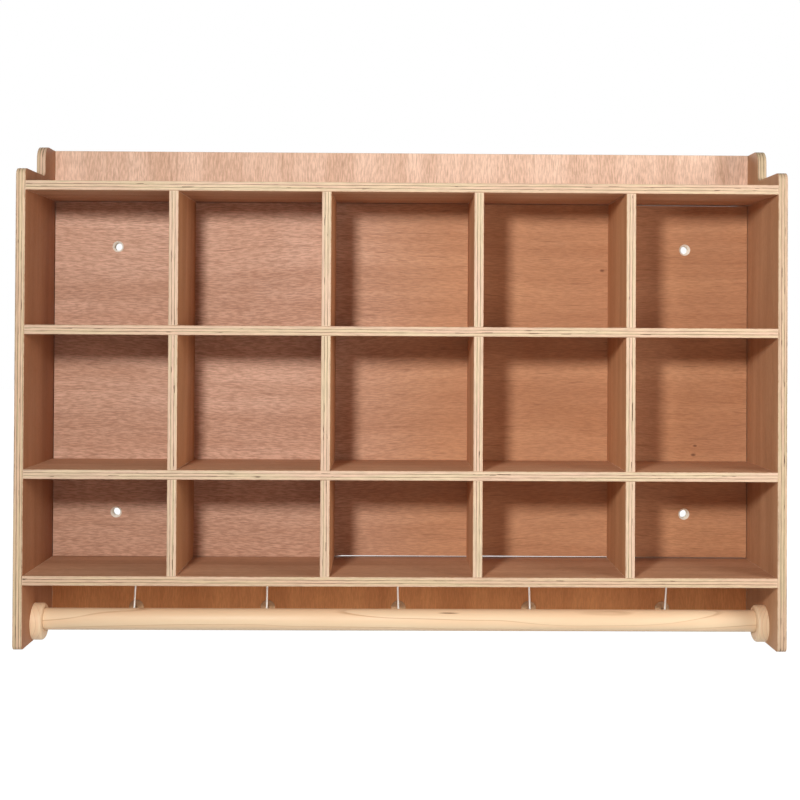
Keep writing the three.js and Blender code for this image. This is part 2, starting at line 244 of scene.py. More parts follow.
# For each lamp: its offset from the middle of the front, its aim, its width and its watts.
LAMPS = {
    "key_softbox": ((-0.51, -2.0, 0.61), KEY_AIM, 0.30, 41.0),
    "fill_panel": ((1.7, -1.1, 0.2), case_middle, 1.0, 21.2),
    "floor_board": ((-0.2, -1.2, -0.92), case_middle, 1.4, 2.5),
    "rear_panel": ((-1.1, 2.4, 0.9), case_middle, 1.6, 26.0),
}
for name, (offset, aim, width, watts) in LAMPS.items():
    data = bpy.data.lights.new(name, "AREA")
    data.shape = "DISK"
    data.size = width
    data.energy = watts
    lamp = bpy.data.objects.new(name, data)
    lamp.location = front_middle + Vector(offset)
    lamp.rotation_euler = (aim - lamp.location).to_track_quat("-Z", "Y").to_euler()
    bpy.context.scene.collection.objects.link(lamp)
    print(name, "at", [round(v, 2) for v in lamp.location], "watts", watts)

# %% [markdown]
# ## Room and floor
#
# A studio has a pale floor and a pale backdrop that run into each other. A real
# white room would flood the cubbies with light and wash their shadows out. So
# here the floor and the backdrop glow white to the camera and in reflections
# only, and the room adds just a weak even light of its own.

# %% Make the room and the floor
ROOM_LIGHT = 0.042
ROOM_IN_GLOSS = 0.85
FLOOR_DROP = 0.95
FLOOR_HALF = 30.0
PALE_FLOOR = (0.8, 0.8, 0.79, 1.0)
WHITE = (1.0, 1.0, 1.0, 1.0)


def glow_when_seen(wiring):
    """One to the camera, nearly one to a reflection, and zero to everything else."""
    rays = wiring.node("ShaderNodeLightPath").outputs
    in_gloss = wiring.math("MULTIPLY", rays["Is Glossy Ray"], ROOM_IN_GLOSS)
    return wiring.math("MAXIMUM", rays["Is Camera Ray"], in_gloss)


world = bpy.data.worlds.new("studio_room")
world.use_nodes = True
bpy.context.scene.world = world
room = Wiring(world.node_tree)
backdrop = world.node_tree.nodes["Background"]
backdrop.inputs["Color"].default_value = WHITE
glow = room.math("MAXIMUM", glow_when_seen(room), ROOM_LIGHT)
room.feed(backdrop.inputs["Strength"], glow)

floor_material = bpy.data.materials.new("pale_floor")
floor_material.use_nodes = True
floor_wiring = Wiring(floor_material.node_tree)
floor_shader = floor_material.node_tree.nodes["Principled BSDF"]
floor_shader.inputs["Base Color"].default_value = PALE_FLOOR
floor_shader.inputs["Roughness"].default_value = 0.9
floor_shader.inputs["Emission Color"].default_value = WHITE
floor_wiring.feed(floor_shader.inputs["Emission Strength"], glow_when_seen(floor_wiring))

floor_mesh = bmesh.new()
bmesh.ops.create_grid(floor_mesh, x_segments=1, y_segments=1, size=FLOOR_HALF)
floor_height = Vector((0, 0, case_low.z - FLOOR_DROP))
bmesh.ops.translate(floor_mesh, vec=floor_height, verts=floor_mesh.verts)
floor = bpy.data.objects.new("studio_floor", bpy.data.meshes.new("studio_floor"))
floor_mesh.to_mesh(floor.data)
floor_mesh.free()
floor.data.materials.append(floor_material)
bpy.context.scene.collection.objects.link(floor)
print("floor height in m:", round(floor_height.z, 3))

# %% [markdown]
# ## Plywood, seen on a cut edge
#
# Each board is one sheet of plywood: a thin red-brown face veneer on both sides
# of three thick pale plies, with a thin dark cross ply and glue line between
# them. Where a board is sawn through, all of this shows as stripes, and here and
# there a gap in a dark ply is painted as a black slot of painted shade, since the
# gap is not cut into the edge.
#
# The stripes are painted as a solid pattern through the whole thickness, so that
# a sawn edge, a rounded corner and the wall of a bored hole all cut through the
# same layers. The group works in the board's own frame: X along the face grain,
# Y across it and Z through the sheet.

# %% Define the ply layers
PLY_CREAM = (0.72, 0.55, 0.355, 1.0)
PLY_PINK = (0.74, 0.505, 0.355, 1.0)
PLY_DARK = (0.13, 0.065, 0.025, 1.0)
PLY_VOID_SHADE = (0.10, 0.05, 0.025, 1.0)
VENEER_START = 0.925
DARK_PLY = (0.255, 0.285, 0.355, 0.385)
OUTER_PLY = (0.76, 0.79, 0.85, 0.88)


def make_ply_layers():
    inputs = {
        "Position": VECTOR, "Half Thickness": NUMBER, "Seed": NUMBER, "Outer Lines": NUMBER,
    }
    outputs = {"Color": COLOUR, "Veneer": NUMBER, "Height": NUMBER}
    wiring, given, result = new_effect("ply layers", inputs, outputs)
    place = wiring.seeded(given, (3.7, 1.3, 2.1))
    through = wiring.split(given["Position"])[2]
    wander = wiring.noise(place, (9.0, 9.0, 20.0))
    wander = wiring.math("MULTIPLY_ADD", wander, 1.2 * MM, -0.6 * MM)
    depth = wiring.math("ABSOLUTE", wiring.math("ADD", through, wander))
    depth = wiring.math("DIVIDE", depth, given["Half Thickness"])

    true_depth = wiring.math("DIVIDE", wiring.math("ABSOLUTE", through), given["Half Thickness"])
    veneer = wiring.fade(true_depth, VENEER_START - 0.02, VENEER_START + 0.02)

    def line_between(start, full, thinning, end):
        rise = wiring.fade(depth, start, full)
        return wiring.math("MULTIPLY", rise, wiring.fade(depth, thinning, end, 1.0, 0.0))

    broken = wiring.fade(wiring.noise(place, (26.0, 26.0, 260.0), 3.0), 0.34, 0.60, 0.55, 1.0)
    inner = wiring.math("MULTIPLY", line_between(*DARK_PLY), broken)
    outer = wiring.math("MULTIPLY", line_between(*OUTER_PLY), given["Outer Lines"])
    faded = wiring.fade(wiring.noise(place, (9.0, 9.0, 130.0), 2.0), 0.42, 0.60)
    dark = wiring.math("MAXIMUM", inner, wiring.math("MULTIPLY", outer, faded))

    tone = wiring.fade(wiring.noise(place, (7.0, 7.0, 210.0), 2.0), 0.38, 0.62)
    pale = wiring.mix(tone, PLY_CREAM, PLY_PINK)
    fibre = wiring.noise(place, (40.0, 40.0, 900.0), 3.0, 0.65)
    shade = wiring.fade(fibre, 0.25, 0.70, 0.76, 1.09)
    pale = wiring.mix(1.0, pale, wiring.join(shade, shade, shade), "MULTIPLY")
    striped = wiring.mix(dark, pale, PLY_DARK)

    # Painted shade: a gap in a dark ply is painted as a black slot that stands for the shade inside
    # it.
    slot = wiring.fade(wiring.noise(place, (34.0, 34.0, 420.0), 1.5), 0.66, 0.69)
    from_core = wiring.math("ABSOLUTE", wiring.math("SUBTRACT", depth, 0.32))
    shaded_void = wiring.math("MULTIPLY", slot, wiring.fade(from_core, 0.10, 0.18, 1.0, 0.0))
    wiring.feed(result["Color"], wiring.mix(shaded_void, striped, PLY_VOID_SHADE))
    wiring.feed(result["Veneer"], veneer)
    sunk = wiring.math("MULTIPLY_ADD", dark, -0.35, fibre)
    wiring.feed(result["Height"], wiring.math("SUBTRACT", sunk, shaded_void))
    return wiring.tree


ply_layers = make_ply_layers()
print("ply layers:", len(ply_layers.nodes), "nodes")

# %% [markdown]
# ## Face veneer
#
# The face veneer is a peeled tropical hardwood, salmon to red-brown and matt. Its
# figure is soft: broad bands that wander along the sheet, thousands of short
# fine pores that lie with the grain, and a few longer dark lines. Three noises,
# each stretched along X by its own amount, give those three scales. The bands
# bend first, so that the pores and lines bend with them.

# %% Define the veneer figure
def make_veneer_figure():
    inputs = {"Position": VECTOR, "Seed": NUMBER}
    outputs = {"Tone": NUMBER, "Pores": NUMBER, "Lines": NUMBER}
    wiring, given, result = new_effect("veneer figure", inputs, outputs)
    place = wiring.seeded(given, (1.9, 4.3, 0.7))
    bend = wiring.noise(place, (2.2, 5.0, 2.0), 1.0)
    bend = wiring.math("MULTIPLY_ADD", bend, 0.05, -0.025)
    place = wiring.vector("ADD", place, wiring.join(0.0, bend, 0.0))

    bands = wiring.noise(place, (1.7, 24.0, 9.0), 3.0, 0.55)
    wiring.feed(result["Tone"], wiring.fade(bands, 0.30, 0.70))
    pores = wiring.noise(place, (75.0, 560.0, 300.0), 2.0, 0.65)
    wiring.feed(result["Pores"], wiring.fade(pores, 0.34, 0.66))
    lines = wiring.noise(place, (17.0, 250.0, 80.0), 2.0, 0.5)
    wiring.feed(result["Lines"], wiring.fade(lines, 0.60, 0.72))
    return wiring.tree


veneer_figure = make_veneer_figure()
print("veneer figure:", len(veneer_figure.nodes), "nodes")

# %% [markdown]
# ## Knots
#
# A knot is the root of a small branch. The grain flows round it like water round
# a stone, and its core is darker and harder than the wood beside it. The group
# gives the dark core, and a new position whose across-the-grain part is pressed
# flat near the knot. A figure that reads that position then parts round the core.

# %% Define the knot
def make_knot():
    inputs = {"Position": VECTOR, "Centre": VECTOR, "Radius": NUMBER}
    outputs = {"Position": VECTOR, "Core": NUMBER}
    wiring, given, result = new_effect("knot", inputs, outputs)
    away = wiring.vector("SUBTRACT", given["Position"], given["Centre"])
    flat = wiring.vector("MULTIPLY", away, (0.55, 1.0, 0.0))
    distance = wiring.math("DIVIDE", wiring.vector("LENGTH", flat), given["Radius"])
    pressed = wiring.fade(distance, 0.6, 4.0, 1.0, 0.0)
    across = wiring.math("MULTIPLY", wiring.split(away)[1], pressed)
    shift = wiring.join(0.0, wiring.math("MULTIPLY", across, -0.85), 0.0)
    wiring.feed(result["Position"], wiring.vector("ADD", given["Position"], shift))
    wiring.feed(result["Core"], wiring.fade(distance, 0.35, 1.25, 1.0, 0.0))
    return wiring.tree


knot = make_knot()
print("knot:", len(knot.nodes), "nodes")

# %% [markdown]
# ## Worn arrises and handled faces
#
# The sharp corner of a board is its arris. Sanding and years of lunch boxes rub
# the arrises paler, but not evenly. On a box, a point is near an arris when two
# of its three distances to the faces are small, so the mask takes the middle one
# of the three. Handling is a broad, soft patchiness of the faces, which changes
# the colour a little and the sheen a little more.

# %% Define wear and handling
def make_arris_wear():
    inputs = {"Position": VECTOR, "Half Size": VECTOR, "Reach": NUMBER}
    outputs = {"Mask": NUMBER}
    wiring, given, result = new_effect("arris wear", inputs, outputs)
    inside = wiring.vector("ABSOLUTE", given["Position"])
    gap_x, gap_y, gap_z = wiring.split(wiring.vector("SUBTRACT", given["Half Size"], inside))
    pairs = ((gap_x, gap_y), (gap_y, gap_z), (gap_x, gap_z))
    farther = [wiring.math("MAXIMUM", one, other) for one, other in pairs]
    nearest = wiring.math("MINIMUM", wiring.math("MINIMUM", farther[0], farther[1]), farther[2])
    uneven = wiring.noise(given["Position"], (90.0, 90.0, 90.0), 3.0, 0.6)
    reach = wiring.math("MULTIPLY", given["Reach"], wiring.fade(uneven, 0.3, 0.75, 0.25, 1.6))
    share = wiring.math("DIVIDE", nearest, reach)
    wiring.feed(result["Mask"], wiring.fade(share, 0.4, 1.0, 1.0, 0.0))
    return wiring.tree


def make_handling():
    inputs = {"Position": VECTOR, "Seed": NUMBER}
    outputs = {"Patches": NUMBER, "Fine": NUMBER}
    wiring, given, result = new_effect("handling", inputs, outputs)
    place = wiring.seeded(given, (5.1, 2.9, 3.3))
    patches = wiring.noise(place, (7.0, 11.0, 11.0), 4.0, 0.55)
    wiring.feed(result["Patches"], wiring.fade(patches, 0.30, 0.70))
    fine = wiring.noise(place, (260.0, 420.0, 420.0), 2.0, 0.6)
    wiring.feed(result["Fine"], wiring.fade(fine, 0.3, 0.7))
    return wiring.tree


arris_wear = make_arris_wear()
handling = make_handling()
print("arris wear:", len(arris_wear.nodes), "nodes; handling:", len(handling.nodes), "nodes")

# %% [markdown]
# ## One material for each board
#
# No two boards of a real case match: each is cut from another part of a sheet.
# So every board gets its own material from one function. A Mapping node moves
# the board's middle to zero and turns its grain to X and its thickness to Z,
# which is the frame that the groups above work in. The seed slides each pattern
# to a new place. The tint is the share of red, green and blue of the veneer, and
# on some boards it also carries painted light and on others painted shade for
# the face that they show; the edge tint is the same for the sawn edges. The
# contrast tells how strongly the pores show, the outer lines how dark the glue
# under the veneer is, and the wear how pale the arrises are rubbed. The shade
# drift paints the veneer darker and more orange towards one end of a long
# board, as painted shade where the cubbies get less light.

# %% Define the plywood material
VENEER_LIGHT = (0.70, 0.405, 0.275, 1.0)
VENEER_DARK = (0.56, 0.295, 0.185, 1.0)
VENEER_LINE = (0.36, 0.165, 0.095, 1.0)
KNOT_CORE = (0.16, 0.055, 0.028, 1.0)
WORN_WOOD = (0.80, 0.60, 0.42, 1.0)
FRESH_WOOD_PAINTED_LIGHT = (0.98, 0.95, 0.86, 1.0)
FRESH_TORN_PAINTED_LIGHT = (0.95, 0.86, 0.70, 1.0)
PLAIN = (1.0, 1.0, 1.0)
PORE_COLOUR = (1.0, 1.25, 1.45)
SHADE_DRIFT_START, SHADE_DRIFT_END = -0.22, 0.12
SOILING = 0.16
KNOT_DEPTH = 0.8
ARRIS_REACH = 1.6 * MM
MATT = 0.50


def board_place(low, high, grain, thickness):
    """The turn and shift that put a board's grain on X, its thickness on Z and its middle at zero."""
    turn = Matrix((grain, thickness.cross(grain), thickness))
    return turn, -(turn @ ((low + high) / 2))


def new_surface(name):
    """A material's wiring, its Principled shader and the object coordinates."""
    material = bpy.data.materials.new(name)
    material.use_nodes = True
    wiring = Wiring(material.node_tree)
    shader = material.node_tree.nodes["Principled BSDF"]
    place = wiring.node("ShaderNodeTexCoord").outputs["Object"]
    return material, wiring, shader, place


def mapped(wiring, place, turn, shift):
    """Object coordinates moved and turned by one Mapping node."""
    mapping = wiring.node("ShaderNodeMapping", vector_type="POINT")
    wiring.feed(mapping.inputs["Vector"], place)
    mapping.inputs["Location"].default_value = shift
    mapping.inputs["Rotation"].default_value = turn.to_euler()
    return mapping.outputs[0]


def add_bump(wiring, shader, height, strength, distance):
    bump = wiring.node("ShaderNodeBump")
    bump.inputs["Strength"].default_value = strength
    bump.inputs["Distance"].default_value = distance
    wiring.feed(bump.inputs["Height"], height)
    wiring.feed(shader.inputs["Normal"], bump.outputs[0])


def tinted(colour, tint=PLAIN):
    return [part * share for part, share in zip(colour, tint)] + [1.0]


def plywood(
    name, low, high, grain, thickness, seed,
    tint=PLAIN, drift=PLAIN, edge_tint=PLAIN, contrast=0.10, outer_lines=0.3, wear=0.45,
    knots=(),
):
    """One board's own plywood. Each of knots is (along the grain, across it, radius)."""
    material, wiring, shader, place = new_surface(name)
    turn, shift = board_place(low, high, grain, thickness)
    place = mapped(wiring, place, turn, shift)
    half_size = Vector([abs(c) for c in turn @ (high - low)]) / 2
    layers = wiring.group(
        ply_layers, Position=place, Half_Thickness=half_size.z, Seed=seed,
        Outer_Lines=outer_lines,
    )

    cores = []
    figured = place
    for x, y, radius in knots:
        found = wiring.group(knot, Position=figured, Centre=(x, y, 0.0), Radius=radius)
        figured = found["Position"]
        cores.append(found["Core"])
    figure = wiring.group(veneer_figure, Position=figured, Seed=seed)
    touch = wiring.group(handling, Position=place, Seed=seed)
    worn = wiring.group(arris_wear, Position=place, Half_Size=half_size, Reach=ARRIS_REACH)

    light, dark = tinted(VENEER_LIGHT, tint), tinted(VENEER_DARK, tint)
    face = wiring.mix(figure["Tone"], dark, light)
    lined = wiring.math("MULTIPLY", figure["Lines"], min(0.5, 2.5 * contrast))
    face = wiring.mix(lined, face, tinted(VENEER_LINE, tint))
    # Painted shade: towards the end of the shade drift the colour is multiplied darker and more
    # orange.
    along = wiring.fade(wiring.split(place)[0], SHADE_DRIFT_START, SHADE_DRIFT_END)
    face = wiring.mix(along, face, wiring.mix(1.0, face, tinted(drift), "MULTIPLY"))
    calm = wiring.math("MULTIPLY", along, 0.0 if drift == PLAIN else 0.5)
    pores = wiring.math("SUBTRACT", figure["Pores"], 0.5)
    pores = wiring.math("MULTIPLY_ADD", pores, wiring.math("SUBTRACT", 1.0, calm), 0.5)
    shaded = tinted([1 - contrast * share for share in PORE_COLOUR])
    lifted = tinted([1 + contrast * share for share in PORE_COLOUR])
    face = wiring.mix(1.0, face, wiring.mix(pores, shaded, lifted), "MULTIPLY")
    face = wiring.mix(wiring.math("MULTIPLY", touch["Patches"], SOILING), face, dark)
    for core in cores:
        face = wiring.mix(wiring.math("MULTIPLY", core, KNOT_DEPTH), face, KNOT_CORE)
    sawn = wiring.mix(1.0, layers["Color"], tinted(edge_tint), "MULTIPLY")
    wood = wiring.mix(layers["Veneer"], sawn, face)
    rubbed = wiring.math("MULTIPLY", worn["Mask"], wear)
    wiring.feed(shader.inputs["Base Color"], wiring.mix(rubbed, wood, WORN_WOOD))

    sheen = wiring.math("MULTIPLY_ADD", touch["Patches"], 0.12, MATT)
    grit = wiring.math("MULTIPLY_ADD", touch["Fine"], 0.10, sheen)
    wiring.feed(shader.inputs["Roughness"], grit)
    shader.inputs["Specular IOR Level"].default_value = 0.35
    relief = wiring.math("MULTIPLY", figure["Pores"], layers["Veneer"])
    relief = wiring.math("MULTIPLY_ADD", layers["Height"], 0.8, relief)
    add_bump(wiring, shader, relief, 0.35, 0.25 * MM)
    return material


def fresh_cut_painted_light(name, low, high, grain, thickness, seed):
    """The wall of a newly bored hole: the plies show, pale and torn, and painted paler still as
    painted light.
    """
    material, wiring, shader, place = new_surface(name)
    turn, shift = board_place(low, high, grain, thickness)
    place = mapped(wiring, place, turn, shift)
    half = abs((turn @ (high - low)).z) / 2
    layers = wiring.group(
        ply_layers, Position=place, Half_Thickness=half, Seed=seed, Outer_Lines=0.2
    )
    torn = wiring.fade(wiring.noise(place, (500.0, 500.0, 500.0), 3.0), 0.35, 0.65)
    # Pale fresh wood, painted near white as painted light that lifts the shade on the bored walls.
    bare_painted_light = wiring.mix(torn, FRESH_WOOD_PAINTED_LIGHT, FRESH_TORN_PAINTED_LIGHT)
    wiring.feed(shader.inputs["Base Color"], wiring.mix(0.9, layers["Color"], bare_painted_light))
    wiring.feed(shader.inputs["Roughness"], wiring.math("MULTIPLY_ADD", torn, 0.15, 0.65))
    add_bump(wiring, shader, torn, 0.4, 0.2 * MM)
    return material


print("plywood colours:", VENEER_LIGHT[:3], "to", VENEER_DARK[:3])

# %% [markdown]
# ## Turned pine and plated steel
#
# The rod and its sockets are solid pine. A pine board shows its growth rings as
# long lines, because the saw cuts the rings of the trunk at a shallow angle. The
# group measures how far a point is from the pith of the tree, which lies well
# outside the piece, bends that distance slowly along the grain, and repeats it
# once for each year: pale early wood, then a narrow darker line of late wood.

# %% Define the growth rings
def make_growth_rings():
    inputs = {"Position": VECTOR, "Pith": VECTOR, "Ring Width": NUMBER, "Seed": NUMBER}
    outputs = {"Late Wood": NUMBER, "Season": NUMBER, "Fibre": NUMBER}
    wiring, given, result = new_effect("growth rings", inputs, outputs)
    place = wiring.seeded(given, (2.3, 0.9, 1.7))
    away = wiring.vector("SUBTRACT", given["Position"], given["Pith"])
    radius = wiring.vector("LENGTH", wiring.vector("MULTIPLY", away, (0.0, 1.0, 1.0)))
    bend = wiring.noise(place, (2.6, 9.0, 9.0), 1.5)
    radius = wiring.math("ADD", radius, wiring.math("MULTIPLY", bend, 0.055))
    year = wiring.math("DIVIDE", radius, given["Ring Width"])
    season = wiring.math("FRACT", year)
    fall = wiring.fade(season, 0.965, 1.0, 1.0, 0.0)
    line = wiring.math("MULTIPLY", wiring.fade(season, 0.89, 0.965), fall)
    strength = wiring.fade(wiring.noise(place, (3.5, 60.0, 60.0), 1.0), 0.35, 0.65, 0.4, 1.0)
    wiring.feed(result["Late Wood"], wiring.math("MULTIPLY", line, strength))
    soft = wiring.math("MULTIPLY", wiring.fade(season, 0.1, 0.9), fall)
    wiring.feed(result["Season"], soft)
    fibre = wiring.noise(place, (24.0, 900.0, 900.0), 3.0, 0.6)
    wiring.feed(result["Fibre"], wiring.fade(fibre, 0.3, 0.7))
    return wiring.tree


growth_rings = make_growth_rings()
print("growth rings:", len(growth_rings.nodes), "nodes")

# %% Define the pine and steel materials
PINE_EARLY = (0.84, 0.635, 0.41, 1.0)
PINE_LATE = (0.38, 0.19, 0.08, 1.0)
PINE_WARM = (0.82, 0.55, 0.335, 1.0)
PINE_RESIN = (0.20, 0.10, 0.045, 1.0)
ZINC = (0.97, 0.92, 0.84, 1.0)
ZINC_DULL = (0.62, 0.60, 0.56, 1.0)
PLATE_TAN = (0.50, 0.30, 0.17, 1.0)
PLATE_TAN_DULL = (0.32, 0.18, 0.09, 1.0)


def pine(name, middle, grain, across, pith, ring_width, seed, pockets=()):
    material, wiring, shader, place = new_surface(name)
    turn = Matrix((grain, across, grain.cross(across)))
    place = mapped(wiring, place, turn, -(turn @ middle))
    rings = wiring.group(
        growth_rings, Position=place, Pith=pith, Ring_Width=ring_width, Seed=seed
    )
    touch = wiring.group(handling, Position=place, Seed=seed)
    wood = wiring.mix(wiring.math("MULTIPLY", rings["Season"], 0.55), PINE_EARLY, PINE_WARM)
    wood = wiring.mix(wiring.math("MULTIPLY", rings["Late Wood"], 0.75), wood, PINE_LATE)
    wood = wiring.mix(wiring.math("MULTIPLY", rings["Fibre"], 0.25), wood, PINE_WARM)
    wood = wiring.mix(wiring.math("MULTIPLY", touch["Patches"], 0.25), wood, PINE_WARM)
    for centre, half_length, half_width in pockets:
        stretch = (1 / half_length, 1 / half_width, 1 / half_width)
        away = wiring.vector("MULTIPLY", wiring.vector("SUBTRACT", place, centre), stretch)
        dark = wiring.fade(wiring.vector("LENGTH", away), 0.4, 1.1, 0.9, 0.0)
        wood = wiring.mix(dark, wood, PINE_RESIN)
    wiring.feed(shader.inputs["Base Color"], wood)
    sheen = wiring.math("MULTIPLY_ADD", touch["Patches"], 0.12, 0.36)
    wiring.feed(shader.inputs["Roughness"], wiring.math("MULTIPLY_ADD", touch["Fine"], 0.08, sheen))
    shader.inputs["Specular IOR Level"].default_value = 0.4
    relief = wiring.math("MULTIPLY_ADD", rings["Late Wood"], 0.6, rings["Fibre"])
    add_bump(wiring, shader, relief, 0.25, 0.2 * MM)
    return material


def plated_steel(name, seed, dullness, haze=0.16, bright=ZINC, dull=ZINC_DULL):
    material, wiring, shader, place = new_surface(name)
    shifted = wiring.vector("ADD", place, (seed, seed * 0.7, seed * 0.3))
    touch = wiring.group(handling, Position=shifted, Seed=seed)
    tarnish = wiring.math("MULTIPLY", wiring.math("ADD", touch["Patches"], touch["Fine"]), dullness)
    wiring.feed(shader.inputs["Base Color"], wiring.mix(tarnish, bright, dull))
    wiring.feed(shader.inputs["Roughness"], wiring.math("MULTIPLY_ADD", tarnish, 0.35, haze))
    shader.inputs["Metallic"].default_value = 1.0
    add_bump(wiring, shader, touch["Fine"], 0.12, 0.1 * MM)
    return material


print("pine colours:", PINE_EARLY[:3], "to", PINE_LATE[:3])

# %% [markdown]
# ## Making a piece
#
# A finished bmesh becomes a piece here: its doubles are merged, its faces are
# turned outwards, and it takes the place of its part in the design and rides on
# that part's body. Sawn faces stay flat, and rounded corners and bored walls are
# shaded smooth. Turned pieces are smooth all over, apart from their sharp edges.

# %% Define how a piece is finished
WELD = 0.002 * MM
SQUARE_ON = 0.99999
SHARP = math.radians(32)


def to_object(name, bm):
    bmesh.ops.remove_doubles(bm, verts=bm.verts, dist=WELD)
    bmesh.ops.recalc_face_normals(bm, faces=bm.faces)
    made = bpy.data.objects.new(name, bpy.data.meshes.new(name))
    bm.to_mesh(made.data)
    bm.free()
    bpy.context.scene.collection.objects.link(made)
    return made


def shade(made, is_board):
    for polygon in made.data.polygons:
        squareness = max(abs(c) for c in polygon.normal)
        polygon.use_smooth = not is_board or squareness < SQUARE_ON
    made.data.set_sharp_from_angle(angle=SHARP)


def stand_in(made, node, material, is_board=False, body="case"):
    """The piece takes the place of its part in the design."""
    shade(made, is_board)
    made.data.materials.clear()
    made.data.materials.append(material)
    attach(made, body)
    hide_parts(node)
    return made


def finish_board(board, node, grain, thickness, seed, **looks):
    """Gives a board its own plywood and the place of its part."""
    low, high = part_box(node)
    material = plywood("veneer_" + node, low, high, grain, thickness, seed, **looks)
    stand_in(board, node, material, is_board=True)


print("faces meet smoothly below", round(math.degrees(SHARP)), "degrees")

# %% [markdown]
# ## Screws and what they need
#
# The case is held by countersunk wood screws through its sides and its back, and
# two more hold each rod socket. A screw is a turned shape: the outline of half a
# screw is drawn once and spun round its axis. The ridges of its thread are drawn
# as rings. The cross in its head is cut with two crossed wedges, which is how
# the punch that forms it is shaped. The drill for its hole is the same outline,
# without the thread and a little larger. The drills come first, because every
# board has to be bored for its screws before it is finished.

# %% Read where the screws are
HEAD_RADIUS = 4.0 * MM
SHANK_RADIUS = 2.0 * MM
FIT_GAP = 0.3 * MM


def screw_place(node):
    """The middle of a screw's head, the way that the head faces, and the screw's length."""
    low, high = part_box(node)
    middle = (low + high) / 2
    if node.startswith("screw_back"):
        out = BACKWARD
    elif "left" in node:
        out = RIGHT if "socket" in node else LEFT
    else:
        out = LEFT if "socket" in node else RIGHT
    length = abs((high - low).dot(out))
    return middle + out * length / 2, out, length


screws = {name: screw_place(name) for name in sorted(frame["nodes"]) if name.startswith("screw_")}
print("screws:", len(screws))


# %% Define turning, and the matrix that places a turned piece
def placed(axis, up, at):
    """Turns +Z to the axis and +X to up, and moves the result."""
    turn = Matrix((up, axis.cross(up), axis)).transposed()
    return Matrix.Translation(at) @ turn.to_4x4()


def turned(bm, profile, steps, matrix):
    """Spins an outline of (radius, height) points round Z into a closed shape."""
    verts = [bm.verts.new((radius, 0, height)) for radius, height in profile]
    edges = [bm.edges.new(pair) for pair in zip(verts, verts[1:])]
    bmesh.ops.spin(
        bm, geom=verts + edges, cent=(0, 0, 0), axis=(0, 0, 1),
        angle=2 * math.pi, steps=steps, use_merge=True,
    )
    mine = [v for v in bm.verts if v.tag is False]
    bmesh.ops.remove_doubles(bm, verts=mine, dist=WELD)
    mine = [v for v in bm.verts if v.tag is False]
    bmesh.ops.transform(bm, matrix=matrix, verts=mine)
    for vert in mine:
        vert.tag = True


def countersunk(depth, hole, sink, sink_depth):
    """The outline of a countersunk drill, from its bottom to just above the surface."""
    bottom = -depth - FIT_GAP
    return [(0, bottom), (hole, bottom), (hole, -sink_depth), (sink, 0), (sink, FIT_GAP), (0, FIT_GAP)]


def screw_drill(length):
    sink_depth = HEAD_RADIUS - SHANK_RADIUS
    return countersunk(length, SHANK_RADIUS + FIT_GAP, HEAD_RADIUS + FIT_GAP, sink_depth)


def across_of(axis):
    """A direction square to an axis, to turn a piece by."""
    return UP if abs(axis.z) < 0.5 else RIGHT


def boxes_meet(first, second):
    return all(
        first[0][i] < second[1][i] and second[0][i] < first[1][i] for i in range(3)
    )


def cut_with(made, drills):
    """Cuts a bmesh of closed drills out of an object, and throws the drills away."""
    cutter = to_object("drills", drills)
    for polygon in cutter.data.polygons:
        polygon.use_smooth = True
    boolean = made.modifiers.new("bore", "BOOLEAN")
    boolean.operation = "DIFFERENCE"
    boolean.solver = "EXACT"
    boolean.object = cutter
    bpy.context.view_layer.update()
    evaluated = made.evaluated_get(bpy.context.evaluated_depsgraph_get())
    bored = bpy.data.meshes.new_from_object(evaluated)
    made.modifiers.clear()
    made.data = bored
    bpy.data.objects.remove(cutter)


DRILL_STEPS = 24


def screw_drills(bm, node):
    """Adds the drills of every screw that goes into a part."""
    found = [name for name in screws if boxes_meet(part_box(name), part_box(node))]
    for name in found:
        head, out, length = screws[name]
        turned(bm, screw_drill(length), DRILL_STEPS, placed(out, across_of(out), head))
    return len(found)


def bore_for_screws(made, node):
    """Drills a piece for every screw that goes into its part."""
    drills = bmesh.new()
    bores = screw_drills(drills, node)
    cut_with(made, drills)
    return bores


print("a 40 mm drill has", len(screw_drill(40 * MM)), "corners")

# %% [markdown]
# ## Straight boards
#
# Shelves, dividers and the narrow boards are sawn straight, and the edges that a
# child can touch are eased with a sanding block. So each starts as a cube the
# size of its part, and a bevel of three steps rounds only the edges that are in
# reach. Edges that butt against another board stay sharp.

# %% Define a straight board
ARRIS = 1.0 * MM
ARRIS_STEPS = 3
SAME = 0.01 * MM


def cube_between(bm, low, high):
    made = bmesh.ops.create_cube(bm, size=1.0)["verts"]
    bmesh.ops.scale(bm, vec=high - low, verts=made)
    bmesh.ops.translate(bm, vec=(low + high) / 2, verts=made)


def ease(bm, edges, radius=ARRIS, steps=ARRIS_STEPS):
    bmesh.ops.bevel(
        bm, geom=edges, offset=radius, offset_type="OFFSET", affect="EDGES",
        segments=steps, profile=0.5, material=-1, clamp_overlap=True,
    )


def is_at(edge, axis, value):
    return all(abs(vert.co[axis] - value) < SAME for vert in edge.verts)


def runs_along(edge, axis):
    run = edge.verts[1].co - edge.verts[0].co
    return abs(run[axis]) > 0.9 * run.length


X, Y, Z = 0, 1, 2


def straight_board(name, low, high, eased):
    """A board with eased edges. Each of eased is (direction it runs, axis, value, ...)."""
    bm = bmesh.new()
    cube_between(bm, low, high)
    edges = [
        edge for edge in bm.edges
        if any(runs_along(edge, run) and is_at(edge, axis, value) for run, axis, value in eased)
    ]
    ease(bm, edges)
    return to_object(name, bm)


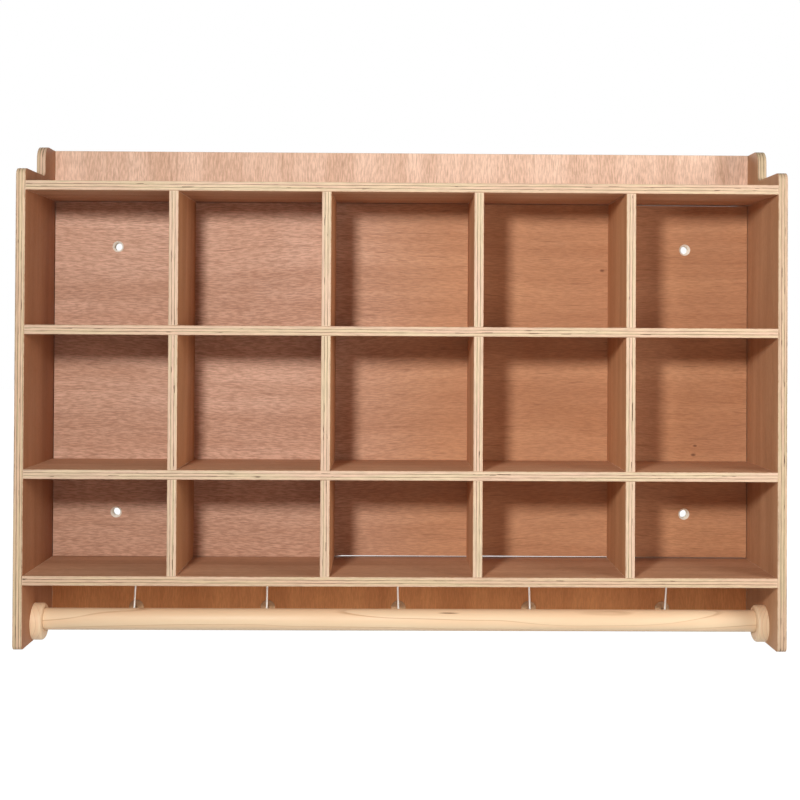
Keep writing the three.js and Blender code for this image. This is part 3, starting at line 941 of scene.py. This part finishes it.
# %% Make the shelves
shelf_names = ("bottom_shelf", "lower_shelf", "upper_shelf", "top_shelf")
SHELF_TINT = (0.80, 0.75, 0.63)
SHELF_EDGE_TINTS = ((0.95, 0.92, 0.87), PLAIN, (0.98, 0.97, 0.95), (0.98, 0.97, 0.95))
for index, node in enumerate(shelf_names):
    low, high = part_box(node)
    board = straight_board("ply_" + node, low, high, [(X, Y, low.y)])
    bores = bore_for_screws(board, node)
    finish_board(
        board, node, RIGHT, UP, seed=1.0 + 0.37 * index, tint=SHELF_TINT,
        edge_tint=SHELF_EDGE_TINTS[index],
    )
    print(node, "bores", bores, "faces", len(board.data.polygons))

# %% [markdown]
# ## Dividers
#
# Twelve short upright boards part the rows into cubbies. Short boards come from
# all over a sheet, so their colour changes more than that of the shelves. The two
# columns of them on the left show faces turned away from the key light and are
# painted darker and more orange as painted shade, and the two on the right show
# lit faces and are painted paler as painted light. They are made as the
# shelves are, with upright grain and no screws, because they are glued in.

# %% Make the dividers
UNEVEN = 0.06
# Painted light and shade: the left two columns are painted darker and more orange, the right two
# paler.
DIVIDER_LIT_AND_SHADED_TINTS = {
    "1": (0.72, 0.58, 0.38), "2": (0.76, 0.62, 0.42),
    "3": (0.85, 0.75, 0.57), "4": (0.80, 0.70, 0.50),
}
divider_names = sorted(name for name in frame["nodes"] if name.startswith("divider_"))
for index, node in enumerate(divider_names):
    low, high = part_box(node)
    board = straight_board("ply_" + node, low, high, [(Z, Y, low.y)])
    uneven = UNEVEN * (index * 7 % 5 / 4 - 0.5)
    tint = Vector(DIVIDER_LIT_AND_SHADED_TINTS[node[-1]]) * (1 + uneven)
    finish_board(board, node, UP, RIGHT, seed=3.0 + 0.41 * index, tint=tint, contrast=0.05)
print("dividers:", len(divider_names))

# %% [markdown]
# ## Back panel
#
# One board closes the back of every cubby. It hangs the whole case on its wall,
# by a countersunk 13 mm hole in each corner cubby. It is cut a little short at
# its top and bottom, and its sawn edges wander by a millimetre or so, which lets
# a thin line of daylight through under some cubbies. The panel is a cube that is
# split upright in a few places first, so that its edges can wander. The wall
# holes are the newest cuts in the wood, so they are pale inside, and their walls
# and countersinks are painted paler still, near white, as painted light that
# lifts the shade in them.

# %% Make the back panel
FIXING_HOLE = 13.0 * MM
FIXING_SINK = 19.0 * MM
FIXING_SINK_DEPTH = 3.0 * MM
HOLE_STEPS = 48
# Each entry: a place along the panel in metres, and how far its top and its bottom
# edge are moved up there in millimetres.
PANEL_EDGES = (
    (-0.60, 1.4, -1.2), (-0.13, 1.4, -1.5), (-0.10, 1.4, 1.35), (0.00, 1.4, 1.15),
    (0.11, 1.4, 0.85), (0.14, 1.4, 1.45), (0.24, 1.3, 1.15), (0.34, 1.3, 1.0),
    (0.38, 1.2, 0.5), (0.42, 0.85, 0.4), (0.57, 0.85, 0.2), (0.60, 1.2, 0.0),
)

panel_low, panel_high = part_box("back_panel")
openings = frame["record"]["physics"]["openings"]
fixings = [entry for entry in openings if entry["name"].startswith("fixing_hole")]

bm = bmesh.new()
cube_between(bm, panel_low, panel_high)
for station in PANEL_EDGES[1:-1]:
    everything = bm.verts[:] + bm.edges[:] + bm.faces[:]
    bmesh.ops.bisect_plane(bm, geom=everything, plane_co=(station[0], 0, 0), plane_no=RIGHT)
for vert in bm.verts:
    x, top_shift, bottom_shift = min(PANEL_EDGES, key=lambda entry: abs(entry[0] - vert.co.x))
    vert.co.z += (top_shift if vert.co.z > 0 else bottom_shift) * MM
panel = to_object("ply_back_panel", bm)

drills = bmesh.new()
bores = screw_drills(drills, "back_panel")
fixing_drill = countersunk(sheet, FIXING_HOLE / 2, FIXING_SINK / 2, FIXING_SINK_DEPTH)
fixing_places = []
for entry in fixings:
    low, high = (Vector(corner) for corner in entry["box_m"])
    middle = (low + high) / 2
    fixing_places.append(Vector((middle.x, panel_low.y, middle.z)))
    turned(drills, fixing_drill, HOLE_STEPS, placed(FORWARD, UP, fixing_places[-1]))
cut_with(panel, drills)
PANEL_SEED = 9.3
PANEL_KNOTS = ((0.505, 0.110, 2.2 * MM), (0.502, 0.1255, 2.6 * MM), (0.344, -0.190, 2.4 * MM))
PANEL_TINT = (0.98, 1.01, 1.03)
# Painted shade: the panel is painted darker and more orange towards its right end, where the cubbies
# get less light.
PANEL_RIGHT_SHADE = (0.88, 0.73, 0.52)
finish_board(
    panel, "back_panel", RIGHT, BACKWARD, seed=PANEL_SEED, tint=PANEL_TINT, drift=PANEL_RIGHT_SHADE,
    contrast=0.19, wear=0.0, knots=PANEL_KNOTS,
)

hole_wood_painted_light = fresh_cut_painted_light(
    "fresh_cut_holes_painted_light", panel_low, panel_high, RIGHT, BACKWARD, seed=PANEL_SEED
)
panel.data.materials.append(hole_wood_painted_light)
# The walls of the wall holes get the pale wood with its painted light.
for polygon in panel.data.polygons:
    inside = panel_low.y + SAME < polygon.center.y < panel_high.y - SAME
    near = any((Vector(polygon.center) - at).length < FIXING_SINK for at in fixing_places)
    if inside and near:
        polygon.material_index = 1
print("back panel: wall holes", len(fixings), "screw holes", bores)

# %% [markdown]
# ## Top back board and hook rail
#
# A narrow board stands on the rear of the top shelf, so that nothing drops
# behind the case, and another hangs under the bottom shelf to carry the hooks.
# Both have upright grain. The first stands high in the open light and is painted
# the palest board of the case, as painted light. The second hangs in the shade
# under the bottom shelf and is painted the warmest, as painted warm bounce
# light. They are straight boards, and the rail is drilled for the hooks before
# it gets its finish, as a maker would do it.

# %% Make the top back board and the hook rail
low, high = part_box("top_back_board")
board = straight_board("ply_top_back_board", low, high, [(X, Z, high.z)])
# Painted light: the top back board is painted much paler and less saturated than the other boards.
TOP_BOARD_PAINTED_LIGHT_TINT = (1.27, 1.48, 1.60)
finish_board(
    board, "top_back_board", UP, BACKWARD, seed=11.7, tint=TOP_BOARD_PAINTED_LIGHT_TINT, contrast=0.15
)

HOOK_GRIP = 11.0 * MM
WIRE_RADIUS = 1.7 * MM
hook_plates = sorted(name for name in frame["nodes"] if name.startswith("hook_plate_"))
rail_low, rail_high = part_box("hook_rail")


def hook_root(plate):
    """Where a hook's wire leaves the face of the rail."""
    low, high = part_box(plate)
    middle = (low + high) / 2
    return Vector((middle.x, rail_low.y, middle.z))


rail = straight_board("ply_hook_rail", rail_low, rail_high, [(X, Z, rail_low.z)])
bore = WIRE_RADIUS + FIT_GAP
grip_profile = [(0, -HOOK_GRIP - FIT_GAP), (bore, -HOOK_GRIP - FIT_GAP), (bore, FIT_GAP), (0, FIT_GAP)]
drills = bmesh.new()
for plate in hook_plates:
    turned(drills, grip_profile, DRILL_STEPS, placed(FORWARD, UP, hook_root(plate)))
cut_with(rail, drills)
# Painted bounce light: the rail hangs in shade under the bottom shelf and is painted redder and more
# orange, like warm light bounced from the wood.
RAIL_PAINTED_BOUNCE_TINT = (1.12, 0.82, 0.43)
finish_board(rail, "hook_rail", UP, BACKWARD, seed=13.1, tint=RAIL_PAINTED_BOUNCE_TINT, contrast=0.08)
print("hook rail bored for", len(hook_plates), "hooks")

# %% [markdown]
# ## Sides
#
# Each side is one board with a shaped outline: a low lip beside the top shelf, a
# rounded riser at the wall, and softened corners at the front. A maker would
# draw the outline, round its corners with a coin, saw it and ease its arrises.
# The steps here are the same. One face is drawn through the six corners, a
# bevel rounds the four that are away from the wall, each by its own radius, the
# face is extruded to the sheet's thickness, and a last bevel eases both outlines.

# %% Make the sides
SIDE_LIP = 20.0 * MM
RISER_DEPTH = 78.0 * MM
RISER_ROUND = 22.0 * MM
RISER_FOOT_FILLET = 9.0 * MM
SIDE_TOP_ROUND = 12.0 * MM
SIDE_BOTTOM_ROUND = 9.0 * MM
CORNER_STEPS = 10
# Painted light and shade: the left side, whose inner face is shaded from the key, is painted darker
# and more orange; the right side, lit, is painted paler.
SIDE_LIT_AND_SHADED_TINTS = {"left_side": (0.65, 0.50, 0.35), "right_side": (0.80, 0.76, 0.60)}
SIDE_EDGE_TINTS = {"left_side": (1.0, 0.97, 0.92), "right_side": (0.83, 0.82, 0.77)}

lip_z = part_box("top_shelf")[1].z + SIDE_LIP


def side_board(name, low, high):
    outline = (
        (0.0, low.z, 0.0),
        (0.0, high.z, 0.0),
        (-RISER_DEPTH, high.z, RISER_ROUND),
        (-RISER_DEPTH, lip_z, RISER_FOOT_FILLET),
        (low.y, lip_z, SIDE_TOP_ROUND),
        (low.y, low.z, SIDE_BOTTOM_ROUND),
    )
    bm = bmesh.new()
    corners = [bm.verts.new((low.x, y, z)) for y, z, radius in outline]
    bm.faces.new(corners)
    for corner, (y, z, radius) in zip(corners, outline):
        if radius:
            bmesh.ops.bevel(
                bm, geom=[corner], offset=radius, offset_type="OFFSET", affect="VERTICES",
                segments=CORNER_STEPS, profile=0.5, material=-1,
            )
    outer = bmesh.ops.extrude_face_region(bm, geom=bm.faces[:])["geom"]
    moved = [item for item in outer if isinstance(item, bmesh.types.BMVert)]
    bmesh.ops.translate(bm, vec=(high.x - low.x, 0, 0), verts=moved)
    bmesh.ops.recalc_face_normals(bm, faces=bm.faces)
    rims = [
        edge for edge in bm.edges
        if sum(abs(face.normal.x) > 0.9 for face in edge.link_faces) == 1
    ]
    ease(bm, rims)
    return to_object(name, bm)


for node, seed in (("left_side", 15.2), ("right_side", 16.9)):
    low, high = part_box(node)
    board = side_board("ply_" + node, low, high)
    bores = bore_for_screws(board, node)
    finish_board(
        board, node, UP, RIGHT, seed=seed, tint=SIDE_LIT_AND_SHADED_TINTS[node],
        edge_tint=SIDE_EDGE_TINTS[node], contrast=0.05, outer_lines=1.0,
    )
    print(node, "bores", bores, "faces", len(board.data.polygons))

# %% [markdown]
# ## Hanging rod
#
# The rod is a 35 mm pine dowel with chamfered ends, loose in its sockets so that
# it can turn. It starts as a cylinder, and a bevel rounds the chamfer. The grain
# runs along it, so the rings of the tree show as long lines that close slowly to
# a point. One short dark slit is a resin pocket, a small flaw that is common in
# pine. The rod rides on its own body, because it spins.

# %% Make the hanging rod
ROD_CHAMFER = 1.5 * MM
ROD_STEPS = 96

low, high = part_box("hanging_rod")
rod_middle = (low + high) / 2
rod_radius = (high.z - low.z) / 2
bm = bmesh.new()
bmesh.ops.create_cone(
    bm, cap_ends=True, segments=ROD_STEPS, radius1=rod_radius, radius2=rod_radius,
    depth=high.x - low.x, matrix=placed(RIGHT, UP, rod_middle),
)
ends = [edge for edge in bm.edges if is_at(edge, X, low.x) or is_at(edge, X, high.x)]
ease(bm, ends, radius=ROD_CHAMFER, steps=4)
rod = to_object("pine_hanging_rod", bm)
resin_pocket = ((0.078, -11.2 * MM, 13.4 * MM), 20.0 * MM, 1.5 * MM)
material = pine(
    "pine_rod", rod_middle, RIGHT, BACKWARD, pith=(0.0, 0.030, -0.062), ring_width=16.0 * MM,
    seed=2.2, pockets=[resin_pocket],
)
stand_in(rod, "hanging_rod", material, body="rod")
print("rod diameter in mm:", round(2 * rod_radius / MM, 1))

# %% [markdown]
# ## Rod sockets
#
# Each socket is a turned disc with a rounded front edge and a blind recess for
# the rod. The recess sits a little above the middle, which leaves the most wood
# where the weight hangs. The disc is a filled circle, extruded and bevelled. Its
# flat front is then removed, and a bridge joins the rim to the smaller, higher
# circle of the recess, which is extruded down to its floor and filled.

# %% Make the rod sockets
SOCKET_FLOOR = 8.0 * MM
SOCKET_EDGE_ROUND = 5.0 * MM
ROD_CLEARANCE = 0.5 * MM
RECESS_EDGE = 0.5 * MM
SOCKET_STEPS = 96


def is_level(edge, height):
    return is_at(edge, Z, height)


def rod_socket(name, node, out):
    low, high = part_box(node)
    thickness = high.x - low.x
    radius = (high.z - low.z) / 2
    middle = (low + high) / 2
    base = middle - out * thickness / 2
    lift = rod_middle.z - middle.z
    bm = bmesh.new()
    bmesh.ops.create_circle(bm, cap_ends=True, segments=SOCKET_STEPS, radius=radius)
    front = bmesh.ops.extrude_face_region(bm, geom=bm.faces[:])["geom"]
    moved = [item for item in front if isinstance(item, bmesh.types.BMVert)]
    bmesh.ops.translate(bm, vec=(0, 0, thickness), verts=moved)
    ease(bm, [edge for edge in bm.edges if is_level(edge, thickness)], SOCKET_EDGE_ROUND, 8)
    lid = [face for face in bm.faces if all(is_level(edge, thickness) for edge in face.edges)]
    bmesh.ops.delete(bm, geom=lid, context="FACES_ONLY")
    bmesh.ops.create_circle(
        bm, cap_ends=False, segments=SOCKET_STEPS, radius=rod_radius + ROD_CLEARANCE,
        matrix=Matrix.Translation((lift, 0, thickness)),
    )
    loops = [edge for edge in bm.edges if is_level(edge, thickness)]
    bmesh.ops.bridge_loops(bm, edges=loops)
    mouth = [edge for edge in bm.edges if is_level(edge, thickness) and edge.is_boundary]
    walls = bmesh.ops.extrude_edge_only(bm, edges=mouth)["geom"]
    moved = [item for item in walls if isinstance(item, bmesh.types.BMVert)]
    bmesh.ops.translate(bm, vec=(0, 0, SOCKET_FLOOR - thickness), verts=moved)
    bmesh.ops.contextual_create(bm, geom=[edge for edge in bm.edges if edge.is_boundary])
    ease(bm, [edge for edge in mouth if edge.is_valid], RECESS_EDGE, 2)
    bmesh.ops.transform(bm, matrix=placed(out, UP, base), verts=bm.verts)
    made = to_object(name, bm)
    bore_for_screws(made, node)
    return made, middle


for side, out in (("left", RIGHT), ("right", LEFT)):
    node = "rod_socket_" + side
    socket, middle = rod_socket("pine_" + node, node, out)
    material = pine(
        "pine_socket_" + side, middle, UP, out, pith=(0.0, 0.050, 0.020 * out.x),
        ring_width=6.0 * MM, seed=4.0 + out.x,
    )
    stand_in(socket, node, material)
    print(node, "faces", len(socket.data.polygons))

# %% [markdown]
# ## Coat hooks
#
# A coat hook is one length of plated wire, screwed into the rail through a small
# domed plate. It leaves the rail level, dips, turns up in one round throat and
# leans away at its tip. A bender makes it from straights and true arcs, and so
# does the sweep: the ring of the wire's section is extruded along each straight
# and spun through each bend. The last rings shrink to a rounded end. Hooks that
# are screwed in by hand never stand quite upright, so each leans a little.

# %% Define the wire sweep
WIRE_STEPS = 20


def ring_of(geom):
    """The verts and edges of the newest ring of a sweep."""
    verts = [item for item in geom if isinstance(item, bmesh.types.BMVert)]
    found = set(verts)
    edges = [
        item for item in geom
        if isinstance(item, bmesh.types.BMEdge) and all(vert in found for vert in item.verts)
    ]
    return verts, edges


class WireSweep:
    """A round wire that is led along straights and bends in an upright plane."""

    def __init__(self, at, heading, radius):
        self.bm = bmesh.new()
        self.at = at
        self.heading = heading
        self.radius = radius
        start = placed(heading, RIGHT, at)
        made = bmesh.ops.create_circle(
            self.bm, cap_ends=True, segments=WIRE_STEPS, radius=radius, matrix=start
        )
        self.verts, self.edges = made["verts"], self.bm.edges[:]

    def extrude(self, length, scale=1.0):
        made = bmesh.ops.extrude_edge_only(self.bm, edges=self.edges)["geom"]
        self.verts, self.edges = ring_of(made)
        self.at = self.at + self.heading * length
        bmesh.ops.translate(self.bm, vec=self.heading * length, verts=self.verts)
        about = Matrix.Translation(-self.at)
        bmesh.ops.scale(self.bm, vec=(scale, scale, scale), space=about, verts=self.verts)

    def bend(self, radius, angle, steps):
        quarter = Matrix.Rotation(math.copysign(math.pi / 2, angle), 3, "X")
        centre = self.at + (quarter @ self.heading) * radius
        made = bmesh.ops.spin(
            self.bm, geom=self.verts + self.edges, cent=centre, axis=(1, 0, 0),
            angle=angle, steps=steps,
        )
        self.verts, self.edges = ring_of(made["geom_last"])
        turn = Matrix.Rotation(angle, 3, "X")
        self.at = centre + turn @ (self.at - centre)
        self.heading = turn @ self.heading

    def round_off(self, steps):
        """Rounds the end of the wire with a half ball, closed at its pole."""
        for step in range(1, steps + 1):
            before, now = (math.pi / 2 * (step - k) / steps for k in (1, 0))
            scale = math.cos(now) / math.cos(before)
            self.extrude(self.radius * (math.sin(now) - math.sin(before)), scale)
        bmesh.ops.pointmerge(self.bm, verts=self.verts, merge_co=self.at)


print("a wire ring has", WIRE_STEPS, "sides")

# %% Make the coat hooks
PLATE_THICKNESS = 2.4 * MM
HOOK_REACH = 22.0 * MM
HOOK_DROP = math.radians(50)
SHANK_BEND = 8.0 * MM
HOOK_RISE = 40.0 * MM
TIP_BEND = 30.0 * MM
TIP_ANGLE = math.radians(22)
HOOK_LEANS = (3, 1, -2, -2, 4)

level_out = PLATE_THICKNESS + WIRE_RADIUS
throat = (HOOK_REACH - level_out - SHANK_BEND * math.sin(HOOK_DROP)) / (1 + math.sin(HOOK_DROP))
hook_finish = plated_steel("zinc_hooks", seed=1.4, dullness=0.10, haze=0.34)
for index, plate in enumerate(hook_plates):
    root = hook_root(plate)
    wire = WireSweep(root + BACKWARD * (HOOK_GRIP - FIT_GAP), FORWARD, WIRE_RADIUS)
    wire.extrude(HOOK_GRIP + level_out)
    wire.bend(SHANK_BEND, HOOK_DROP, 8)
    wire.bend(throat, -HOOK_DROP - math.pi / 2, 20)
    wire.extrude(HOOK_RISE)
    wire.bend(TIP_BEND, TIP_ANGLE, 8)
    wire.round_off(5)
    lean = Matrix.Rotation(math.radians(HOOK_LEANS[index]), 3, "Y")
    bmesh.ops.rotate(wire.bm, cent=root, matrix=lean, verts=wire.bm.verts)
    hook = to_object(f"wire_coat_hook_{index + 1}", wire.bm)
    stand_in(hook, f"coat_hook_{index + 1}", hook_finish)
print("throat radius in mm:", round(throat / MM, 2))

# %% [markdown]
# ## Hook plates
#
# Each hook has a round plate that hides its hole and bears on the rail. It is
# pressed from thin sheet into a low dome, and its metal is coloured a dull tan.
# A dome could be a squashed ball, but the plate has a flat rim and a hole in the
# middle. So its outline is drawn once, with the dome as part of a sine curve,
# and spun.

# %% Make the hook plates
PLATE_RIM = 0.8 * MM
DOME_POINTS = 6
plate_radius = (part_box("hook_plate_2")[1].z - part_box("hook_plate_2")[0].z) / 2
plate_bore = WIRE_RADIUS + FIT_GAP
plate_profile = [(plate_bore, 0), (plate_radius - 0.3 * MM, 0), (plate_radius, 0.3 * MM)]
for step in range(DOME_POINTS + 1):
    share = step / DOME_POINTS
    radius = plate_radius + (plate_bore - plate_radius) * share
    height = PLATE_RIM + (PLATE_THICKNESS - PLATE_RIM) * math.sin(share * math.pi / 2)
    plate_profile.append((radius, height))
plate_profile.append(plate_profile[0])
plate_finish = plated_steel(
    "tan_plates", seed=2.9, dullness=0.38, haze=0.24, bright=PLATE_TAN, dull=PLATE_TAN_DULL
)
for plate in hook_plates:
    bm = bmesh.new()
    seat = hook_root(plate) + FORWARD * FIT_GAP
    turned(bm, plate_profile, HOLE_STEPS, placed(FORWARD, UP, seat))
    stand_in(to_object("domed_" + plate, bm), plate, plate_finish)
print("plates:", len(hook_plates), "of", round(2 * plate_radius / MM, 1), "mm")

# %% [markdown]
# ## Screws
#
# Two lengths of screw hold the case: long ones through its boards, and short
# ones for the rod sockets. Only their heads can be seen once they are in, but
# each is modelled whole. One pattern is made for each length. Every screw is a
# copy of its pattern, turned a little further than the last, because nobody
# stops a screwdriver with all the crosses in line.

# %% Make the screws
THREAD_PITCH = 2.2 * MM
THREAD_ROOT = 1.4 * MM
SCREW_POINT = 5.0 * MM
HEAD_EDGE = 0.25 * MM
SCREW_STEPS = 32
CROSS = Vector((4.4, 0.9, 3.4)) * MM
CROSS_TAPER = 0.35
CROSS_TURN = 0.65
BARE_SHANK = 0.4


def screw_profile(length):
    """Half the outline of a countersunk screw, from its point to the middle of its head."""
    profile = [(0, -length)]
    height = -length + SCREW_POINT
    while height < -BARE_SHANK * length:
        profile += [(THREAD_ROOT, height), (SHANK_RADIUS, height + 0.45 * THREAD_PITCH)]
        profile.append((THREAD_ROOT, height + 0.7 * THREAD_PITCH))
        height += THREAD_PITCH
    profile += [(SHANK_RADIUS, height), (SHANK_RADIUS, SHANK_RADIUS - HEAD_RADIUS)]
    return profile + [(HEAD_RADIUS, -HEAD_EDGE), (HEAD_RADIUS - HEAD_EDGE, 0), (0, 0)]


def cross_wedge(turn):
    """One arm of the cross, wider at the top than at the bottom."""
    bm = bmesh.new()
    cube_between(bm, -CROSS / 2, CROSS / 2)
    bottom = [vert for vert in bm.verts if vert.co.z < 0]
    bmesh.ops.scale(bm, vec=(CROSS_TAPER, 0.7, 1.0), verts=bottom)
    bmesh.ops.rotate(bm, matrix=Matrix.Rotation(turn, 3, "Z"), verts=bm.verts)
    return bm


def screw_pattern(length):
    """The mesh of one screw, point down, with its head's face at zero."""
    bm = bmesh.new()
    turned(bm, screw_profile(length), SCREW_STEPS, Matrix.Identity(4))
    made = to_object("screw_pattern", bm)
    cut_with(made, cross_wedge(0.0))
    cut_with(made, cross_wedge(math.pi / 2))
    mesh = made.data
    bpy.data.objects.remove(made)
    return mesh


screw_finish = plated_steel("zinc_screws", seed=5.3, dullness=0.45)
patterns = {}
for index, (node, (head, out, length)) in enumerate(screws.items()):
    key_length = round(length / MM)
    if key_length not in patterns:
        patterns[key_length] = screw_pattern(length)
    mesh = patterns[key_length].copy()
    mesh.transform(placed(out, across_of(out), head) @ Matrix.Rotation(CROSS_TURN * index, 4, "Z"))
    screw = bpy.data.objects.new("zinc_" + node, mesh)
    bpy.context.scene.collection.objects.link(screw)
    stand_in(screw, node, screw_finish)
for mesh in patterns.values():
    bpy.data.meshes.remove(mesh)
print("screw lengths in mm:", sorted(patterns), "screws:", len(screws))

# %% [markdown] ## End The looks are meant to keep the design's size.
